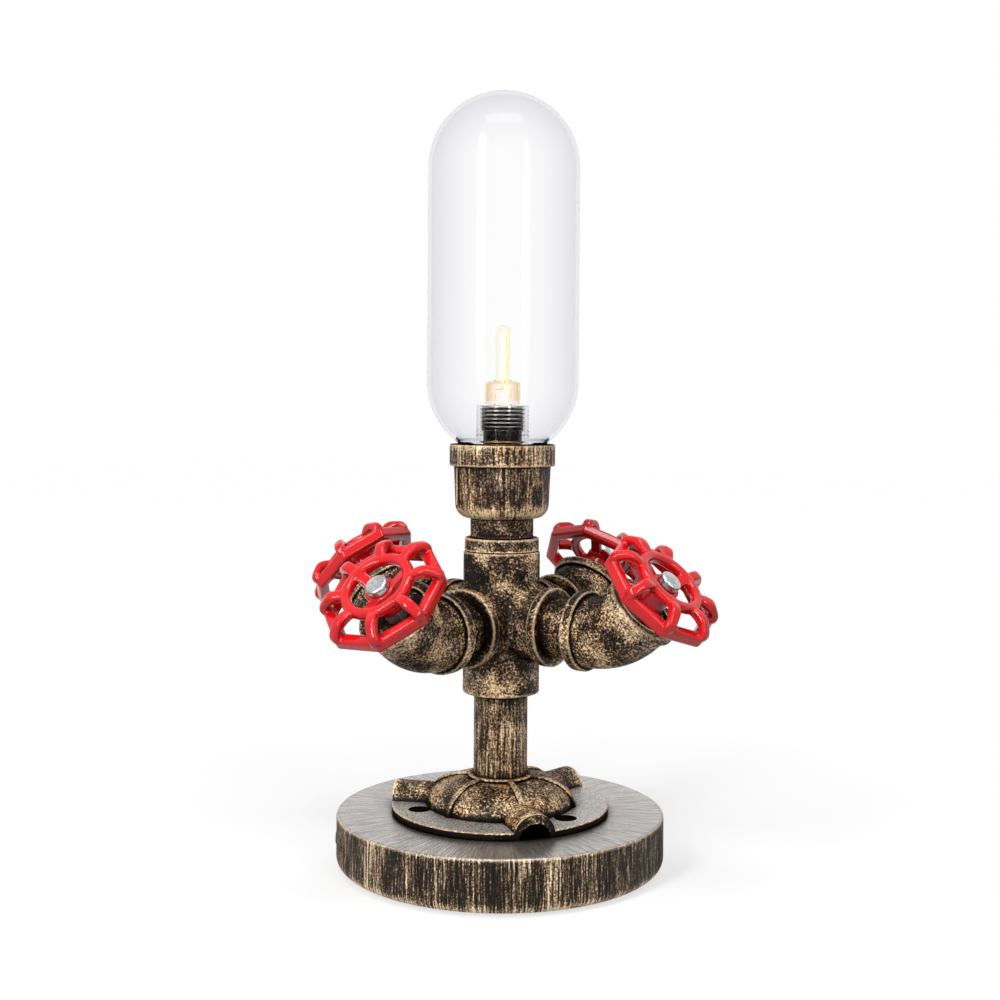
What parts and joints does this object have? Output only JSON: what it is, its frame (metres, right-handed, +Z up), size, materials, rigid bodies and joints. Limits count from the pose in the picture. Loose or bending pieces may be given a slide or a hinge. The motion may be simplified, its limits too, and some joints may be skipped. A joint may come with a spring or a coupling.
{
  "type": "table lamp",
  "caption": "Table lamp built from pipe fittings: round base, floor flange, stem, cross with angled arms that carry turning handwheels, and a cup with a screw-on capsule glass over a pin bulb.",
  "frame": {"origin": "centre of the underside of the base pad", "axes": "+Z up along the stem, +X along the first arm, +Y along the second arm"},
  "size_m": [0.2129, 0.2127, 0.3556],
  "materials": {
    "base_paint": "black paint brushed with bronze, streaked",
    "aged_iron": "black paint on cast iron, bronze rubbed on the raised parts",
    "dark_iron": "satin black paint",
    "dark_nickel": "dark nickel plate",
    "zinc_steel": "zinc plate",
    "bright_steel": "bright plate",
    "red_enamel": "gloss enamel on a casting",
    "brass": "satin",
    "white_ceramic": "unglazed",
    "felt": "pressed felt",
    "black_rubber": "matte",
    "block_plastic": "moulded",
    "lead_brown": "insulation",
    "lead_blue": "insulation",
    "clear_glass": "clear, blown",
    "bulb_glass": "clear, blown",
    "glowing_filament": "glowing",
    "glowing_wire": "drawn wire"
  },
  "bodies": {
    "lamp": {"base_disc": "base_paint", "base_pad": "felt", "cord_gland": "black_rubber", "floor_flange": "aged_iron", "stem_pipe": "aged_iron", "base_washer": "zinc_steel", "base_backnut": "zinc_steel", "hub_cross": "aged_iron", "reducing_bush": "aged_iron", "neck_nipple": "dark_iron", "lamp_cup": "aged_iron", "cup_cover": "dark_iron", "spacer_ring": "brass", "holder_rod": "zinc_steel", "holder_nut": "zinc_steel", "holder_sleeve": "dark_nickel", "holder_core": "white_ceramic", "holder_contacts": "brass", "terminal_block": "block_plastic", "terminal_screws": "brass", "lead_live": "lead_brown", "lead_neutral": "lead_blue", "wheel_bolts": "bright_steel", "wheel_locknuts": "zinc_steel", "arm_nipple_1": "dark_iron", "elbow_1": "aged_iron", "outlet_plug_1": "dark_iron", "arm_nipple_2": "dark_iron", "elbow_2": "aged_iron", "outlet_plug_2": "dark_iron", "arm_nipple_3": "dark_iron", "elbow_3": "aged_iron", "outlet_plug_3": "dark_iron", "arm_nipple_4": "dark_iron", "elbow_4": "aged_iron", "outlet_plug_4": "dark_iron"},
    "wheel_1": {"handwheel_1": "red_enamel"},
    "wheel_2": {"handwheel_2": "red_enamel"},
    "wheel_3": {"handwheel_3": "red_enamel"},
    "wheel_4": {"handwheel_4": "red_enamel"},
    "shade": {"glass_shade": "clear_glass"},
    "bulb": {"bulb_glass": "bulb_glass", "bulb_pins": "zinc_steel", "bulb_filament": "glowing_filament", "bulb_electrodes": "glowing_wire"}
  },
  "joints": [
    {"name": "wheel_1_turn", "type": "hinge", "parent": "lamp", "child": "wheel_1", "pos_m": [0.0633, 0, 0.1111], "axis": [0.7071, 0, 0.7071], "continuous": true},
    {"name": "wheel_2_turn", "type": "hinge", "parent": "lamp", "child": "wheel_2", "pos_m": [0, 0.0633, 0.1111], "axis": [0, 0.7071, 0.7071], "continuous": true},
    {"name": "wheel_3_turn", "type": "hinge", "parent": "lamp", "child": "wheel_3", "pos_m": [-0.0633, 0, 0.1111], "axis": [-0.7071, 0, 0.7071], "continuous": true},
    {"name": "wheel_4_turn", "type": "hinge", "parent": "lamp", "child": "wheel_4", "pos_m": [0, -0.0633, 0.1111], "axis": [0, -0.7071, 0.7071], "continuous": true},
    {"name": "shade_lift", "type": "slide", "parent": "lamp", "child": "shade", "axis": [0, 0, 1], "range_m": [0, 0.062]},
    {"name": "bulb_pull", "type": "slide", "parent": "lamp", "child": "bulb", "axis": [0, 0, 1], "range_m": [0, 0.012]}
  ]
}
